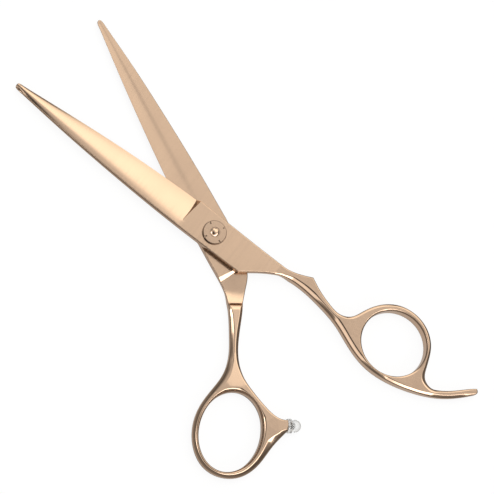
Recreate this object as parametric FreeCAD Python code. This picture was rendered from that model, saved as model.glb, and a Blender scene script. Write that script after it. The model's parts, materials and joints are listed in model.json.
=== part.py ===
import FreeCAD, Part
import math
import os

# Hair cutting shears, 6.5 inch, in millimetres.
# Row frame: origin on the pivot axis in the rest plane, +Z up out of the tension dial,
# +X from the pivot to the tip of the finger blade. The thumb ring is on the +Y side.
# The thumb member is drawn closed, with its blade along +X, and is then turned open.

# ---- heights ----
mid_z = 2.45                 # parting plane between the two blades
blade_gap = 0.1
thumb_top = mid_z - blade_gap / 2
finger_bottom = mid_z + blade_gap / 2
body_thick = 4.9             # handles, and both blades together with their gap
open_angle = 26.0            # how far the blades stand open at rest, degrees

# ---- blades ----
shoulder_x = 10.0            # the outer faces are ground from here to the tip
shoulder_slope = 58.0        # the shoulder's ground facet, degrees from level
shoulder_skew = 8.0
crest_y = 2.8                # the convex face is level with the plateau along this line
crest_radius = 21.0          # crown radius of the convex face at the shoulder
crown_apex_x = 86.0
crown_drop = 0.9             # how much thinner the blade is at the crown's apex
hollow_start_x = 19.0
hollow_apex_x = 84.0
hollow_depth = 0.2
hollow_radius = 42.0
tool_reach = 90.0

# ---- thumb member's neck ----
shank_dir = math.radians(153.4)
thumb_seam = 23.2            # distance of the blade and handle seam along the shank
cove_x = -14.4
relief = 0.3                 # the neck lies this far below the ride
rise_start = 18.6
rise_radius = 11.0
step_top = 25.4              # the shank is at full height from here on
step_low_z = 3.3

# ---- finger member's neck ----
finger_seam_x = -24.0
ramp_start_x = -25.5
ramp_end_x = -29.5

# ---- rings ----
finger_ring_centre = (-69.8, -7.15)
finger_ring_half = (11.4, 10.85)
thumb_ring_centre = (-60.6, 26.6)
thumb_ring_half = (13.4, 10.4)
thumb_ring_turn = 136.5
edge_round = 0.6

# ---- finger rest (tang) ----
tang_root_x = -82.0
tang_tip_x = -102.3
tang_tip_half = 1.35         # half its height at the tip

# ---- pivot stack, all about the Z axis ----
stud_r = 2.2
stud_head_r = 4.0
stud_head_h = 0.8
stud_step_z = 4.4
thread_r = 1.5
dome_base_z = 5.85
dome_h = 0.5
dome_r = 1.42
key_width = 0.9
key_reach = 4.5
run_gap = 0.05
pocket_r = 4.9
pocket_depth = 0.75
race_thick = 0.3
race_in_r = 2.95
cage_in_r = 3.05
cage_out_r = 4.7
cage_thick = 0.4
ball_r = 0.49
ball_circle_r = 3.9
ball_count = 12
ball_hole_r = 0.55
bush_out_r = 2.9
bush_flange_r = 3.3
bush_flange_z = 3.95
bush_flange_h = 0.2
cap_bore_r = 3.7
thrust_thick = 0.25
thrust_in_r = 2.3
thrust_out_r = 3.55
spring_thick = 0.2
spring_in_r = 1.65
spring_out_r = 3.45
spring_curve_r = 17.5
dial_r = 3.95
dial_low_z = 4.98
dial_top_z = 5.85
dial_hole_r = 1.55
dial_recess_r = 1.78
dial_recess_h = 0.12
dial_chamfer = 0.16
notch_width = 0.5
notch_length = 0.95
notch_depth = 0.35
notch_turn = 62.0
lock_out_r = 2.1
lock_in_r = 1.52
lock_h = 0.4

# ---- silencer bumper on the thumb ring's arm ----
bumper_foot = (-67.43, 8.35)
bumper_dir = math.radians(243.0)
bumper_length = 4.6
bumper_r = 2.4
collar_length = 1.6
bumper_neck_r = 1.75
bumper_bulb_r = 2.05
rib_count = 12
rib_cut_r = 0.34
peg_r = 0.8
peg_in_arm = 2.2
peg_in_bumper = 2.6
barb_r = 1.05
barb_h = 0.6

# ---- outlines: each run is a straight line or a smooth curve through its points ----
finger_blade_runs = [
    [(finger_seam_x, -5.35), (-15, -5.45), (0, -5.8), (shoulder_x, -6.0), (20, -5.82), (40, -4.85),
     (60, -3.2), (80, -1.1)],
    [(80, -1.1), (81.1, -0.6), (81.1, 0.6), (80, 1.1)],
    [(80, 1.1), (60, 3.1), (40, 4.55), (20, 5.5), (shoulder_x, 5.7), (-14, 5.8)],
    [(-14, 5.8), (-19.6, 1.5), (-22, -0.15), (finger_seam_x, -1.35)],
    [(finger_seam_x, -1.35), (finger_seam_x, -5.35)],
]
finger_handle_runs = [
    [(finger_seam_x, -1.35), (-27, -2.6), (-30, -3.2), (-34, -3.32), (-42, -2.5), (-50, -0.75),
     (-58, 2.5), (-64, 4.4), (-70, 4.95), (-77, 4.1), (-85, 1.75), (-92, -1.45), (-98, -6.1),
     (-101.5, -9.9)],
    [(-101.5, -9.9), (-102.25, -11.4), (-101.3, -12.35)],
    [(-101.3, -12.35), (-97, -8.55), (-92, -4.35), (-88.3, -2.95), (-85.2, -4.3), (-83.2, -8.2),
     (-80.2, -14.7), (-76, -18.3), (-70, -19.95), (-63.5, -18.75), (-58.2, -14.6), (-55.3, -9.8),
     (-53, -5.7), (-49.6, -4.0), (-45, -4.5), (-40, -6.15), (-35.2, -8.45)],
    [(-35.2, -8.45), (-31.5, -6.75), (-28, -5.62), (finger_seam_x, -5.35)],
    [(finger_seam_x, -5.35), (finger_seam_x, -1.35)],
]
thumb_blade_runs = [
    [(-24.93, 2.05), (-21.7, -0.8), (-17, -4.3), (-9, -6.5), (3, -6.8)],
    [(3, -6.8), (20, -6.2), (40, -4.98), (60, -3.3), (80, -0.95)],
    [(80, -0.95), (81.3, -0.5), (81.35, 0.4), (80, 0.95)],
    [(80, 0.95), (60, 2.83), (40, 4.27), (24, 5.12), (8, 5.45), (-8, 5.3), (-16, 5.15),
     (-19.5, 5.5), (-22.68, 6.55)],
    [(-22.68, 6.55), (-24.93, 2.05)],
]
thumb_handle_runs = [
    [(-22.68, 6.55), (-26, 7.95), (-32, 10.95), (-39, 15.25), (-43.1, 20.0), (-45.95, 26.2),
     (-49.6, 32.9), (-54.4, 37.4), (-60.6, 40.0), (-66.3, 40.0), (-71.3, 37.3), (-75.1, 30.6),
     (-74.3, 22.9), (-71.2, 16.0), (-69.5, 11.0), (-68.9, 9.1)],
    [(-68.9, 9.1), (-65.96, 7.6)],
    [(-65.96, 7.6), (-63.6, 10.25), (-59.5, 11.95), (-53, 13.4), (-46.5, 14.0), (-41, 12.65),
     (-33, 7.8), (-24.93, 2.05)],
    [(-24.93, 2.05), (-22.68, 6.55)],
]

up = FreeCAD.Vector(0, 0, 1)
origin = FreeCAD.Vector(0, 0, 0)


def at(x, y, z=0.0):
    return FreeCAD.Vector(x, y, z)


def plate(runs, low, high):
    """The solid over a closed outline, from one height to another."""
    edges = []
    for run in runs:
        points = [at(x, y, low) for x, y in run]
        if len(points) == 2:
            edges.append(Part.makeLine(points[0], points[1]))
        else:
            curve = Part.BSplineCurve()
            curve.interpolate(points)
            edges.append(curve.toShape())
    face = Part.Face(Part.Wire(Part.__sortEdges__(edges)))
    return face.extrude(at(0, 0, high - low))


def tube(inner, outer, low, high):
    body = Part.makeCylinder(outer, high - low, at(0, 0, low))
    if inner > 0:
        body = body.cut(Part.makeCylinder(inner, high - low + 2, at(0, 0, low - 1)))
    return body


def oval(centre, half, turn, low, high):
    """An elliptical prism, for the holes of the rings."""
    long_half, short_half = half
    ellipse = Part.Ellipse(at(0, 0, low), long_half, short_half).toShape()
    body = Part.Face(Part.Wire([ellipse])).extrude(at(0, 0, high - low))
    body.rotate(origin, up, turn)
    body.translate(at(centre[0], centre[1]))
    return body


def box_between(low, high):
    size = [b - a for a, b in zip(low, high)]
    return Part.makeBox(size[0], size[1], size[2], at(*low))


def prism(corners):
    """A long cutter across the Y axis, from the corners of its section in X and Z."""
    points = [at(x, -tool_reach / 2, z) for x, z in corners]
    return Part.Face(Part.makePolygon(points + points[:1])).extrude(at(0, tool_reach, 0))


def grinding_cone(crest, apex, radius, below):
    """The cone through the line from crest to apex whose section at crest has this radius."""
    centre = at(crest.x, crest.y, crest.z - radius if below else crest.z + radius)
    axis = apex - centre
    half_angle = axis.getAngle(apex - crest)
    length = axis.Length * 1.4
    axis.normalize()
    foot = apex - axis * length
    return Part.makeCone(length * math.tan(half_angle), 0, length, foot, axis)


def outer_grind():
    """What is ground off the finger blade's outer face: all above its crown, past the shoulder."""
    crest = at(shoulder_x, crest_y, body_thick)
    apex = at(crown_apex_x, 0.3, body_thick - crown_drop)
    crown = grinding_cone(crest, apex, crest_radius, True)
    run = 1 / math.tan(math.radians(shoulder_slope))
    stock = prism([(-run, 1), (body_thick * run, -body_thick), (tool_reach, -body_thick),
                   (tool_reach, 1)])
    stock.rotate(origin, up, -shoulder_skew)
    stock.translate(at(shoulder_x + 0.9, crest_y, body_thick))
    return stock.cut(crown)


def inner_hollow():
    """The shallow hollow ground along the finger blade's inner face."""
    crest = at(hollow_start_x, 0.4, finger_bottom + hollow_depth)
    apex = at(hollow_apex_x, 0.0, finger_bottom)
    return grinding_cone(crest, apex, hollow_radius, True)


def turned_over(tool):
    """A tool of the finger blade, turned over about the long axis for the thumb blade."""
    copy = tool.copy()
    copy.rotate(at(0, 0, mid_z), at(1, 0, 0), 180)
    return copy


def rounded(body):
    """A plate with the long edges of its two faces rounded."""
    edges = [edge for edge in body.Edges if edge.BoundBox.ZLength < 0.01 and edge.Length > 8]
    return body.makeFillet(edge_round, edges)


def make_finger_blade():
    blade = plate(finger_blade_runs, finger_bottom, body_thick)
    blade = blade.cut(outer_grind())
    blade = blade.cut(inner_hollow())
    blade = blade.cut(tube(0, pocket_r, finger_bottom - 1, finger_bottom + pocket_depth))
    blade = blade.cut(tube(0, bush_out_r, finger_bottom, body_thick + 1))
    blade = blade.cut(tube(0, cap_bore_r, bush_flange_z, body_thick + 1))
    return blade


def make_finger_handle():
    handle = plate(finger_handle_runs, 0, body_thick)
    handle = rounded(handle.cut(oval(finger_ring_centre, finger_ring_half, 0, -1, body_thick + 1)))
    # under the neck the handle is only as thick as the blade, and ramps down to full depth
    handle = handle.cut(prism([
        (finger_seam_x + 1, -1), (finger_seam_x + 1, finger_bottom), (ramp_start_x, finger_bottom),
        (ramp_end_x, 0), (ramp_end_x, -1)]))
    # the finger rest thins towards its tip
    for side in (-1, 1):
        outer_z = mid_z + side * (body_thick / 2 + 3)
        handle = handle.cut(prism([
            (tang_root_x, mid_z + side * body_thick / 2), (tang_tip_x, mid_z + side * tang_tip_half),
            (tang_tip_x - 2, mid_z + side * tang_tip_half), (tang_tip_x - 2, outer_z),
            (tang_root_x, outer_z)]))
    return handle


def neck_relief():
    """The space over the thumb neck: level, then rising along an arc to the seam."""
    low = thumb_top - relief
    sweep = math.asin((thumb_seam + 1 - rise_start) / rise_radius)
    arc = [(rise_start + rise_radius * math.sin(turn), low + rise_radius * (1 - math.cos(turn)))
           for turn in (0, sweep / 2, sweep)]
    across = [at(x, -tool_reach / 2, z) for x, z in arc]
    corners = [across[2], at(thumb_seam + 1, -tool_reach / 2, body_thick + 1),
               at(-20, -tool_reach / 2, body_thick + 1), at(-20, -tool_reach / 2, low), across[0]]
    section = Part.Wire(Part.Arc(*across).toShape().Edges + Part.makePolygon(corners).Edges)
    relief_tool = Part.Face(section).extrude(at(0, tool_reach, 0))
    relief_tool.rotate(origin, up, math.degrees(shank_dir))
    return relief_tool


def make_thumb_blade():
    blade = plate(thumb_blade_runs, 0, body_thick)
    # the ride is level, and everything forward of it is at blade thickness
    blade = blade.cut(box_between((cove_x, -20, thumb_top), (100, 20, body_thick + 1)))
    # behind the ride the neck is relieved, and then sweeps up to the shank
    behind_ride = box_between((-40, -20, 0), (cove_x, 20, body_thick + 1))
    blade = blade.cut(neck_relief().common(behind_ride))
    blade = blade.cut(turned_over(outer_grind()))
    blade = blade.cut(turned_over(inner_hollow()))
    blade = blade.cut(tube(0, pocket_r, thumb_top - pocket_depth, thumb_top + 1))
    blade = blade.cut(tube(0, stud_r, -1, thumb_top))
    blade = blade.cut(stud_head())
    return open_up(blade)


def make_thumb_handle():
    handle = plate(thumb_handle_runs, 0, body_thick)
    hole = oval(thumb_ring_centre, thumb_ring_half, thumb_ring_turn, -1, body_thick + 1)
    handle = rounded(handle.cut(hole))
    # the shank's end falls away to the step above the neck
    fall = prism([(thumb_seam - 1, step_low_z), (thumb_seam, step_low_z), (step_top, body_thick),
                  (step_top, body_thick + 1), (thumb_seam - 1, body_thick + 1)])
    fall.rotate(origin, up, math.degrees(shank_dir))
    handle = handle.cut(fall)
    handle = handle.cut(along_bumper(Part.makeCylinder(peg_r, peg_in_arm, at(0, 0, -peg_in_arm))))
    return open_up(handle)


def open_up(shape):
    """Turns a piece of the thumb member from closed to its rest position."""
    shape.rotate(origin, up, -open_angle)
    return shape


def along_bumper(shape):
    """Lays a shape made along +Z, with its foot at the origin, along the bumper's axis."""
    shape.rotate(origin, at(0, 1, 0), 90)
    shape.rotate(origin, up, math.degrees(bumper_dir))
    shape.translate(at(bumper_foot[0], bumper_foot[1], mid_z))
    return shape


def make_bumper():
    end = bumper_length - bumper_bulb_r
    profile = Part.Wire([
        Part.makeLine(at(0, 0, 0), at(bumper_r, 0, 0)),
        Part.makeLine(at(bumper_r, 0, 0), at(bumper_r, 0, collar_length - 0.3)),
        Part.makeLine(at(bumper_r, 0, collar_length - 0.3), at(bumper_neck_r, 0, collar_length)),
        Part.makeLine(at(bumper_neck_r, 0, collar_length), at(bumper_bulb_r, 0, end)),
        Part.Arc(at(bumper_bulb_r, 0, end),
                 at(bumper_bulb_r * math.sqrt(0.5), 0, end + bumper_bulb_r * math.sqrt(0.5)),
                 at(0, 0, bumper_length)).toShape(),
        Part.makeLine(at(0, 0, bumper_length), at(0, 0, 0))])
    body = Part.Face(profile).revolve(origin, up, 360)
    for k in range(rib_count):
        angle = 2 * math.pi * k / rib_count
        groove = Part.makeCylinder(rib_cut_r, collar_length + 0.4,
                                   at(bumper_r * math.cos(angle), bumper_r * math.sin(angle), -0.2))
        body = body.cut(groove)
    return open_up(along_bumper(body.cut(peg_shape())))


def peg_shape():
    """A plain peg with one barb near its outer end."""
    peg = Part.makeCylinder(peg_r, peg_in_arm + peg_in_bumper, at(0, 0, -peg_in_arm))
    barb = Part.makeCone(barb_r, peg_r * 0.7, barb_h, at(0, 0, peg_in_bumper - barb_h))
    return peg.fuse(barb)


def make_bumper_peg():
    return open_up(along_bumper(peg_shape()))


def stud_head():
    """The stud's flush head, with the key that stops it turning in the thumb blade."""
    key = box_between((0, -key_width / 2, 0), (key_reach, key_width / 2, stud_head_h))
    return tube(0, stud_head_r, 0, stud_head_h).fuse(key)


def make_pivot_stud():
    dome_curve = (dome_r ** 2 + dome_h ** 2) / (2 * dome_h)
    ball = Part.makeSphere(dome_curve, at(0, 0, dome_base_z + dome_h - dome_curve))
    dome = ball.common(tube(0, dome_r, dome_base_z - 0.2, dome_base_z + dome_h + 1))
    stud = stud_head().fuse(tube(0, stud_r, stud_head_h / 2, stud_step_z))
    stud = stud.fuse(tube(0, thread_r, stud_step_z - 0.2, dome_base_z)).fuse(dome)
    return open_up(stud.removeSplitter())


def make_pivot_bush():
    sleeve = tube(stud_r + run_gap, bush_out_r, finger_bottom + run_gap, bush_flange_z)
    flange = tube(stud_r + run_gap, bush_flange_r, bush_flange_z, bush_flange_z + bush_flange_h)
    return sleeve.fuse(flange).removeSplitter()


def make_race(low):
    return tube(race_in_r, pocket_r, low, low + race_thick)


def ball_places():
    for k in range(ball_count):
        angle = 2 * math.pi * k / ball_count
        yield at(ball_circle_r * math.cos(angle), ball_circle_r * math.sin(angle), mid_z)


def make_bearing_cage():
    cage = tube(cage_in_r, cage_out_r, mid_z - cage_thick / 2, mid_z + cage_thick / 2)
    for place in ball_places():
        cage = cage.cut(Part.makeCylinder(ball_hole_r, 2, place - up))
    return cage


def make_bearing_balls():
    return Part.makeCompound([Part.makeSphere(ball_r, place) for place in ball_places()])


def make_thrust_washer():
    low = bush_flange_z + bush_flange_h
    return tube(thrust_in_r, thrust_out_r, low, low + thrust_thick)


def make_spring_washer():
    """A washer bent to an arc, lying on its two ends and touching the dial along its crown."""
    sag = spring_curve_r - math.sqrt(spring_curve_r ** 2 - spring_out_r ** 2)
    axis_z = stud_step_z + run_gap / 2 + sag - spring_curve_r
    foot = at(0, -10, axis_z)
    sheet = Part.makeCylinder(spring_curve_r + spring_thick, 20, foot, at(0, 1, 0))
    sheet = sheet.cut(Part.makeCylinder(spring_curve_r, 20, foot, at(0, 1, 0)))
    return sheet.common(tube(spring_in_r, spring_out_r, stud_step_z - 1, dial_top_z))


def make_tension_dial():
    dial = tube(0, dial_r, dial_low_z, dial_top_z)
    rim = [edge for edge in dial.Edges if abs(edge.CenterOfMass.z - dial_top_z) < 0.01]
    dial = dial.makeChamfer(dial_chamfer, rim)
    dial = dial.cut(tube(0, dial_hole_r, 0, dial_top_z + 1))
    dial = dial.cut(tube(0, dial_recess_r, dial_top_z - dial_recess_h, dial_top_z + 1))
    dial = dial.cut(tube(0, lock_out_r, dial_low_z - 1, dial_low_z + lock_h))
    for k in range(4):
        notch = box_between((dial_r - notch_length, -notch_width / 2, dial_top_z - notch_depth),
                            (dial_r + 1, notch_width / 2, dial_top_z + 1))
        notch.rotate(origin, up, notch_turn + 90 * k)
        dial = dial.cut(notch)
    return dial


def make_dial_lock_ring():
    return tube(lock_in_r, lock_out_r, dial_low_z, dial_low_z + lock_h)


pieces = {
    "finger_blade": make_finger_blade(),
    "finger_handle": make_finger_handle(),
    "thumb_blade": make_thumb_blade(),
    "thumb_handle": make_thumb_handle(),
    "bumper": make_bumper(),
    "bumper_peg": make_bumper_peg(),
    "pivot_stud": make_pivot_stud(),
    "pivot_bush": make_pivot_bush(),
    "bearing_race_lower": make_race(thumb_top - pocket_depth),
    "bearing_race_upper": make_race(finger_bottom + pocket_depth - race_thick),
    "bearing_cage": make_bearing_cage(),
    "bearing_balls": make_bearing_balls(),
    "thrust_washer": make_thrust_washer(),
    "spring_washer": make_spring_washer(),
    "tension_dial": make_tension_dial(),
    "dial_lock_ring": make_dial_lock_ring(),
}

os.makedirs("parts", exist_ok=True)
for name, shape in pieces.items():
    shape.exportStep("parts/%s.step" % name)
    print(name, "valid" if shape.isValid() else "BROKEN", len(shape.Solids), "solids, volume",
          round(shape.Volume, 2))
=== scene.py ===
import json
import math

import bmesh
import bpy
import numpy as np
from mathutils import Matrix, Vector
from mathutils.geometry import delaunay_2d_cdt


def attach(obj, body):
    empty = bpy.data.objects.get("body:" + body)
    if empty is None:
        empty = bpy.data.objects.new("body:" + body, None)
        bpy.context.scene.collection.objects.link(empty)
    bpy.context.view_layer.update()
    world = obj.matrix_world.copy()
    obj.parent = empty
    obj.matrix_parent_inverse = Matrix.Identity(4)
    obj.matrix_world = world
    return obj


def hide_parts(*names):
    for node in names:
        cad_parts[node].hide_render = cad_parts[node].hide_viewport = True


# Hair cutting shears lying open on a pale studio floor. Metres, in the CAD frame:
# the pivot axis is Z, the finger blade points along +X and the thumb ring is on the +Y side.

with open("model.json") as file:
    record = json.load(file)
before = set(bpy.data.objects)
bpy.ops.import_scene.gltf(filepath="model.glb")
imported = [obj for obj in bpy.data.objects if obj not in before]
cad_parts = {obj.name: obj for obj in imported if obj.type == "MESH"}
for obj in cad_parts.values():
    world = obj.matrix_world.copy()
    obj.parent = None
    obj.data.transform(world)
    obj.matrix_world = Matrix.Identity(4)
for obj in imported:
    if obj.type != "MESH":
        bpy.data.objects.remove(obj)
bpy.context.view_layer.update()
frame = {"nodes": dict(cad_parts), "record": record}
nodes = frame["nodes"]
MM = 0.001


def new_object(name, data):
    """An object in the scene that holds the given data."""
    made = bpy.data.objects.new(name, data)
    bpy.context.scene.collection.objects.link(made)
    return made


def direction(heading, lean):
    """A unit vector leaning from overhead towards a heading, in degrees."""
    heading, lean = math.radians(heading), math.radians(lean)
    return (math.sin(lean) * math.cos(heading), math.sin(lean) * math.sin(heading),
            math.cos(lean))


# ---------------------------------------------------------------- camera

def aim_camera():
    """A long lens, high over the shears and leaning 18 degrees towards the thumb ring's side."""
    lean, distance = 18.0, 0.9
    turn = math.radians(-143.22)
    back = Vector(direction(81.78, lean))
    right = Vector((math.cos(turn), math.sin(turn), 0))
    tilt = Matrix.Rotation(math.radians(lean), 3, Vector((0, 0, 1)).cross(back).normalized())
    right = tilt @ right
    up = back.cross(right)
    aim = Vector((-11.58, -3.66, 2.45)) * MM
    data = bpy.data.cameras.new("camera")
    data.lens = 198.15
    data.sensor_width = 36.0
    data.clip_start = 0.05
    camera = new_object("camera", data)
    place = Matrix((right, up, back)).transposed().to_4x4()
    place.translation = aim + back * distance
    camera.matrix_world = place
    bpy.context.scene.camera = camera


# ---------------------------------------------------------------- shader groups

def new_group(name, inputs, outputs):
    """An empty shader group with named sockets; inputs are (kind, name, value)."""
    group = bpy.data.node_groups.new(name, "ShaderNodeTree")
    for kind, label, value in inputs:
        socket = group.interface.new_socket(label, in_out="INPUT", socket_type="NodeSocket" + kind)
        socket.default_value = value
    for kind, label in outputs:
        group.interface.new_socket(label, in_out="OUTPUT", socket_type="NodeSocket" + kind)
    return group, group.nodes.new("NodeGroupInput"), group.nodes.new("NodeGroupOutput")


def add(tree, kind, **settings):
    """A shader node of one kind, with its settings."""
    node = tree.nodes.new("ShaderNode" + kind)
    for key, value in settings.items():
        setattr(node, key, value)
    return node


def grind_lines():
    """Fine lines left by the wheel: a height and a mask that vary along one direction."""
    group, given, out = new_group(
        "grind lines",
        [("Float", "Along", 60.0), ("Float", "Across", 3000.0), ("Float", "Turn", 0.0)],
        [("Float", "Height"), ("Float", "Mask")])
    place = add(group, "TexCoord")
    turned = add(group, "VectorRotate", rotation_type="Z_AXIS")
    stretch = add(group, "VectorMath", operation="MULTIPLY")
    scale = add(group, "CombineXYZ")
    noise = add(group, "TexNoise")
    noise.inputs["Scale"].default_value = 1.0
    noise.inputs["Detail"].default_value = 3.0
    spread = add(group, "MapRange")
    spread.inputs["From Min"].default_value = 0.35
    spread.inputs["From Max"].default_value = 0.65
    link = group.links.new
    link(place.outputs["Object"], turned.inputs["Vector"])
    link(given.outputs["Turn"], turned.inputs["Angle"])
    link(turned.outputs["Vector"], stretch.inputs[0])
    link(given.outputs["Along"], scale.inputs["X"])
    link(given.outputs["Across"], scale.inputs["Y"])
    link(given.outputs["Along"], scale.inputs["Z"])
    link(scale.outputs["Vector"], stretch.inputs[1])
    link(stretch.outputs["Vector"], noise.inputs["Vector"])
    link(noise.outputs["Fac"], spread.inputs["Value"])
    link(noise.outputs["Fac"], out.inputs["Height"])
    link(spread.outputs["Result"], out.inputs["Mask"])
    return group


def handling_haze():
    """Soft cloudy patches, as hands and drying water leave on polished metal."""
    group, given, out = new_group(
        "handling haze", [("Float", "Scale", 60.0), ("Float", "Amount", 1.0)], [("Float", "Mask")])
    place = add(group, "TexCoord")
    noise = add(group, "TexNoise")
    noise.inputs["Detail"].default_value = 5.0
    noise.inputs["Roughness"].default_value = 0.6
    spread = add(group, "MapRange")
    spread.inputs["From Min"].default_value = 0.42
    spread.inputs["From Max"].default_value = 0.72
    amount = add(group, "Math", operation="MULTIPLY")
    link = group.links.new
    link(place.outputs["Object"], noise.inputs["Vector"])
    link(given.outputs["Scale"], noise.inputs["Scale"])
    link(noise.outputs["Fac"], spread.inputs["Value"])
    link(spread.outputs["Result"], amount.inputs[0])
    link(given.outputs["Amount"], amount.inputs[1])
    link(amount.outputs["Value"], out.inputs["Mask"])
    return group


def worn_edges():
    """A mask that is bright on ridges, where the coat is rubbed thin."""
    group, given, out = new_group(
        "worn edges", [("Float", "Low", 0.52), ("Float", "High", 0.62)], [("Float", "Mask")])
    shape = add(group, "NewGeometry")
    patch = add(group, "TexNoise")
    patch.inputs["Scale"].default_value = 900.0
    place = add(group, "TexCoord")
    rise = add(group, "MapRange")
    rubbed = add(group, "Math", operation="MULTIPLY")
    link = group.links.new
    link(place.outputs["Object"], patch.inputs["Vector"])
    link(shape.outputs["Pointiness"], rise.inputs["Value"])
    link(given.outputs["Low"], rise.inputs["From Min"])
    link(given.outputs["High"], rise.inputs["From Max"])
    link(rise.outputs["Result"], rubbed.inputs[0])
    link(patch.outputs["Fac"], rubbed.inputs[1])
    link(rubbed.outputs["Value"], out.inputs["Mask"])
    return group


def contact_shade():
    """A mask for painted shade, dark in slits and where two pieces meet."""
    group, given, out = new_group(
        "contact shade", [("Float", "Reach", 0.0006), ("Float", "Low", 0.35)], [("Float", "Mask")])
    open_sky = add(group, "AmbientOcclusion", samples=8)
    rise = add(group, "MapRange")
    rise.inputs["From Max"].default_value = 0.85
    link = group.links.new
    link(given.outputs["Reach"], open_sky.inputs["Distance"])
    link(open_sky.outputs["AO"], rise.inputs["Value"])
    link(given.outputs["Low"], rise.inputs["From Min"])
    link(rise.outputs["Result"], out.inputs["Mask"])
    return group


lines_group = grind_lines()
haze_group = handling_haze()
edges_group = worn_edges()
shade_group = contact_shade()


# ---------------------------------------------------------------- materials

def new_material(name):
    """A material, its node tree and its Principled shader."""
    material = bpy.data.materials.new(name)
    material.use_nodes = True
    tree = material.node_tree
    return material, tree, tree.nodes["Principled BSDF"]


def use_group(tree, group, **values):
    """A shared group put to use, with values for its named inputs."""
    node = tree.nodes.new("ShaderNodeGroup")
    node.node_tree = group
    for key, value in values.items():
        node.inputs[key.replace("_", " ").capitalize()].default_value = value
    return node


def finish_from(tree, shader, mask, smooth, rough):
    """Roughness that runs from smooth to rough as a mask rises."""
    finish = add(tree, "MapRange")
    finish.inputs["To Min"].default_value = smooth
    finish.inputs["To Max"].default_value = rough
    tree.links.new(mask, finish.inputs["Value"])
    tree.links.new(finish.outputs["Result"], shader.inputs["Roughness"])


def mixed(tree, first, second):
    """A colour mix node, with either side given as a colour or left to be linked."""
    mix = add(tree, "Mix", data_type="RGBA")
    for side, colour in (("A", first), ("B", second)):
        if colour is not None:
            mix.inputs[side].default_value = (*colour, 1)
    return mix


def coated_steel(name, coat, rubbed, smooth, rough, line_scale, line_depth, turn=0.0):
    """Rose gold coated steel: coat colour, rubbed edge colour, and how fine the finish is."""
    material, tree, shader = new_material(name)
    link = tree.links.new
    lines = use_group(tree, lines_group, along=line_scale[0], across=line_scale[1], turn=turn)
    haze = use_group(tree, haze_group, scale=70.0, amount=1.0)
    edges = use_group(tree, edges_group, low=0.56, high=1.2)
    shade = use_group(tree, shade_group, reach=0.0006, low=0.35)
    tone = mixed(tree, coat, [c * HAZE_TONE for c in coat])
    worn = mixed(tree, None, rubbed)
    # painted shade: the coat darkens to a share of itself in slits and where pieces meet
    painted_shade = mixed(tree, [c * PAINTED_SHADE_TONE for c in coat], None)
    bump = add(tree, "Bump")
    bump.inputs["Strength"].default_value = 0.12
    bump.inputs["Distance"].default_value = line_depth
    link(haze.outputs["Mask"], tone.inputs["Factor"])
    link(tone.outputs["Result"], worn.inputs["A"])
    link(edges.outputs["Mask"], worn.inputs["Factor"])
    link(worn.outputs["Result"], painted_shade.inputs["B"])
    link(shade.outputs["Mask"], painted_shade.inputs["Factor"])
    link(painted_shade.outputs["Result"], shader.inputs["Base Color"])
    finish_from(tree, shader, lines.outputs["Mask"], smooth, rough)
    link(lines.outputs["Height"], bump.inputs["Height"])
    link(bump.outputs["Normal"], shader.inputs["Normal"])
    shader.inputs["Metallic"].default_value = 1.0
    return material


HAZE_TONE = 0.955
# how dark the painted shade in slits and where pieces meet turns the coat
PAINTED_SHADE_TONE = 0.3
ROSE = (0.86, 0.615, 0.44)
ROSE_RUBBED = (0.93, 0.75, 0.60)
materials = {
    "blade_metal": coated_steel("blade_metal", ROSE, ROSE_RUBBED, 0.16, 0.24,
                                (60.0, 2600.0), 0.00001, math.radians(90)),
    "handle_metal": coated_steel("handle_metal", ROSE, ROSE_RUBBED, 0.07, 0.13,
                                 (700.0, 1500.0), 0.000004),
    "pivot_metal": coated_steel("pivot_metal", ROSE, ROSE_RUBBED, 0.08, 0.16,
                                (600.0, 2400.0), 0.000006),
}


def plain_metal(name, colour, smooth, rough):
    """Bare turned metal, with fine marks that vary its gloss."""
    material, tree, shader = new_material(name)
    lines = use_group(tree, lines_group, along=500.0, across=5000.0)
    finish_from(tree, shader, lines.outputs["Mask"], smooth, rough)
    shader.inputs["Base Color"].default_value = (*colour, 1)
    shader.inputs["Metallic"].default_value = 1.0
    return material


def moulded_nylon(name, colour):
    """Matt nylon, a little uneven in its gloss."""
    material, tree, shader = new_material(name)
    haze = use_group(tree, haze_group, scale=1500.0, amount=0.6)
    finish_from(tree, shader, haze.outputs["Mask"], 0.38, 0.55)
    shader.inputs["Base Color"].default_value = (*colour, 1)
    return material


def clear_plastic():
    """Clear soft plastic, with painted shade: its colour greys towards its rim, where its faces
    turn from view.
    """
    material, tree, shader = new_material("clear_bumper")
    haze = use_group(tree, haze_group, scale=900.0, amount=0.5)
    finish_from(tree, shader, haze.outputs["Mask"], 0.03, 0.12)
    rim = add(tree, "LayerWeight")
    rim.inputs["Blend"].default_value = 0.42
    # painted shade: the colour greys as the faces turn from view
    tone = mixed(tree, (0.95, 0.945, 0.93), (0.34, 0.33, 0.31))
    tree.links.new(rim.outputs["Facing"], tone.inputs["Factor"])
    tree.links.new(tone.outputs["Result"], shader.inputs["Base Color"])
    shader.inputs["Transmission Weight"].default_value = 1.0
    shader.inputs["IOR"].default_value = 1.45
    return material


materials["bare_steel"] = plain_metal("bare_steel", (0.62, 0.62, 0.63), 0.12, 0.22)
materials["bush_bronze"] = plain_metal("bush_bronze", (0.55, 0.33, 0.12), 0.22, 0.34)
materials["cage_nylon"] = moulded_nylon("cage_nylon", (0.72, 0.68, 0.58))
materials["lock_nylon"] = moulded_nylon("lock_nylon", (0.80, 0.80, 0.77))
materials["clear_bumper"] = clear_plastic()

for piece in frame["record"]["subparts"]:
    mesh = nodes[piece["node"]].data
    mesh.materials.clear()
    mesh.materials.append(materials[piece["material_slot"]])


# ---------------------------------------------------------------- ground plates

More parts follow.
